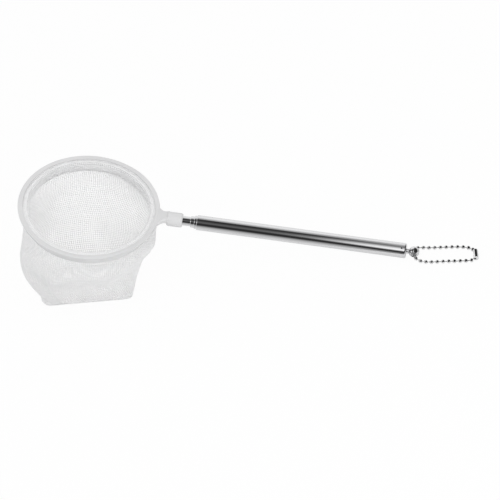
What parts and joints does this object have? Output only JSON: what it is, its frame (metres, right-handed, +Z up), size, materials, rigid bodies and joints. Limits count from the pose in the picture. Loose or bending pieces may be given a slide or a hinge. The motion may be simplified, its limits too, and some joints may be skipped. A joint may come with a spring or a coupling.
{
  "type": "aquarium fish net",
  "caption": "Round fine-mesh aquarium net in a white plastic hoop, on a telescopic steel handle with a ball tail and a hanging loop of ball chain.",
  "frame": {"origin": "middle of the bag's flat foot, on the table that the net stands on", "axes": "+X from the net towards the handle's tail, +Z up from the table; the handle slopes down along +X"},
  "size_m": [0.2803, 0.085, 0.0775],
  "materials": {
    "white_plastic": "moulded white plastic, satin",
    "net_fabric": "fine white nylon mesh",
    "stainless": "polished stainless steel",
    "bronze": "bare spring bronze",
    "chain_metal": "nickel-plated steel"
  },
  "bodies": {
    "grip": {"grip_tube": "stainless", "tail_plug": "stainless"},
    "second_grip_ring": {"second_collar": "bronze"},
    "second_section": {"second_tube": "stainless", "second_stop_bush": "bronze"},
    "third_grip_ring": {"third_collar": "bronze"},
    "third_section": {"third_tube": "stainless", "third_stop_bush": "bronze"},
    "front_grip_ring": {"front_collar": "bronze"},
    "net_head": {"front_tube": "stainless", "front_stop_bush": "bronze", "hoop": "white_plastic", "clamp_ring": "white_plastic", "net_bag": "net_fabric"},
    "tail_swivel": {"tail_ball": "stainless", "swivel_washer": "bronze"},
    "chain": {"chain_beads": "chain_metal", "chain_links": "chain_metal", "chain_clasp": "chain_metal"}
  },
  "joints": [
    {"name": "second_slide", "type": "slide", "parent": "grip", "child": "second_grip_ring", "axis": [-0.9511, 0, 0.309], "range_m": [0, 0.105]},
    {"name": "second_spin", "type": "hinge", "parent": "second_grip_ring", "child": "second_section", "pos_m": [0.17668, 0, 0.01118], "axis": [-0.9511, 0, 0.309], "continuous": true},
    {"name": "third_slide", "type": "slide", "parent": "second_section", "child": "third_grip_ring", "axis": [-0.9511, 0, 0.309], "range_m": [0, 0.1055]},
    {"name": "third_spin", "type": "hinge", "parent": "third_grip_ring", "child": "third_section", "pos_m": [0.17668, 0, 0.01118], "axis": [-0.9511, 0, 0.309], "continuous": true},
    {"name": "front_slide", "type": "slide", "parent": "third_section", "child": "front_grip_ring", "axis": [-0.9511, 0, 0.309], "range_m": [0, 0.1068]},
    {"name": "net_spin", "type": "hinge", "parent": "front_grip_ring", "child": "net_head", "pos_m": [0.17668, 0, 0.01118], "axis": [-0.9511, 0, 0.309], "continuous": true},
    {"name": "tail_swivel", "type": "hinge", "parent": "grip", "child": "tail_swivel", "pos_m": [0.20108, 0, 0.00325], "axis": [0.9511, 0, -0.309], "continuous": true},
    {"name": "chain_swing", "type": "hinge", "parent": "tail_swivel", "child": "chain", "pos_m": [0.20108, 0, 0.00325], "axis": [0, -1, 0], "range_deg": [-118, 82]}
  ]
}
